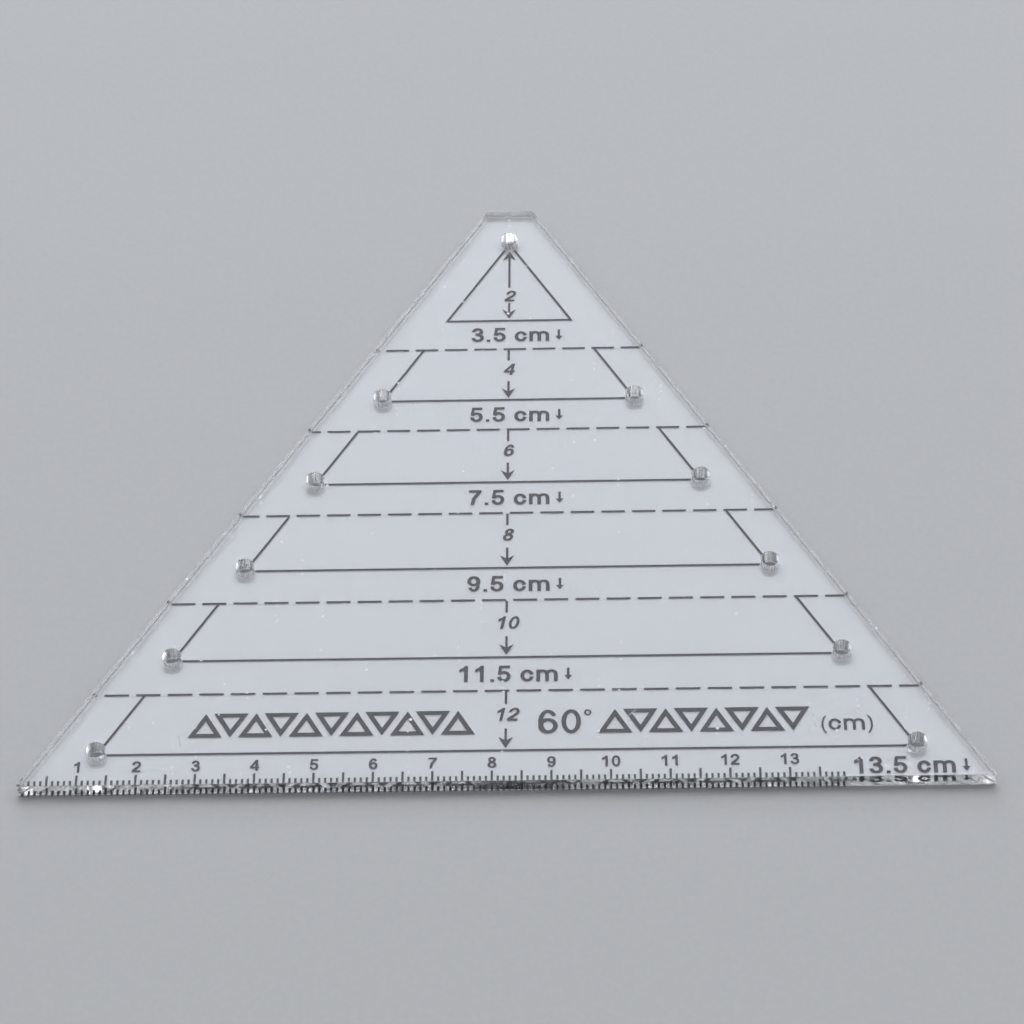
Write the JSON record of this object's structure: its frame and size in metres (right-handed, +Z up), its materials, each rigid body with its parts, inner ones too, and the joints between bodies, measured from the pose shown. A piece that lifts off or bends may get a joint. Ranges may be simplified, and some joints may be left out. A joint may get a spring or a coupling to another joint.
{
  "type": "quilting ruler",
  "caption": "Clear triangular quilting ruler with a flat tip, marking holes at the seam corners, and inlaid sewing lines, dashed cut lines and a centimetre scale on its underside.",
  "frame": {"origin": "middle of the bounding box in plan, on the underside that lies on the fabric", "axes": "+X along the base edge to the right as read from above, +Y from the base edge to the tip, +Z up out of the top face"},
  "size_m": [0.1646, 0.135, 0.0028],
  "materials": {
    "clear_acrylic": "polished, clear",
    "charcoal_ink": "matt"
  },
  "bodies": {
    "root": {"acrylic_plate": "clear_acrylic", "row_1_sewing_triangle": "charcoal_ink", "row_2_sewing_line": "charcoal_ink", "row_3_sewing_line": "charcoal_ink", "row_4_sewing_line": "charcoal_ink", "row_5_sewing_line": "charcoal_ink", "row_6_sewing_line": "charcoal_ink", "row_2_side_guides": "charcoal_ink", "row_3_side_guides": "charcoal_ink", "row_4_side_guides": "charcoal_ink", "row_5_side_guides": "charcoal_ink", "row_6_side_guides": "charcoal_ink", "row_1_cut_line": "charcoal_ink", "row_2_cut_line": "charcoal_ink", "row_3_cut_line": "charcoal_ink", "row_4_cut_line": "charcoal_ink", "row_5_cut_line": "charcoal_ink", "row_1_height_arrow": "charcoal_ink", "row_2_height_arrow": "charcoal_ink", "row_3_height_arrow": "charcoal_ink", "row_4_height_arrow": "charcoal_ink", "row_5_height_arrow": "charcoal_ink", "row_6_height_arrow": "charcoal_ink", "row_1_height_figure": "charcoal_ink", "row_2_height_figure": "charcoal_ink", "row_3_height_figure": "charcoal_ink", "row_4_height_figure": "charcoal_ink", "row_5_height_figure": "charcoal_ink", "row_6_height_figure": "charcoal_ink", "row_1_cut_size": "charcoal_ink", "row_2_cut_size": "charcoal_ink", "row_3_cut_size": "charcoal_ink", "row_4_cut_size": "charcoal_ink", "row_5_cut_size": "charcoal_ink", "row_6_cut_size": "charcoal_ink", "long_graduations": "charcoal_ink", "short_graduations": "charcoal_ink", "scale_numbers": "charcoal_ink", "left_strip_triangles": "charcoal_ink", "angle_mark": "charcoal_ink", "right_strip_triangles": "charcoal_ink", "unit_mark": "charcoal_ink"}
  },
  "joints": []
}
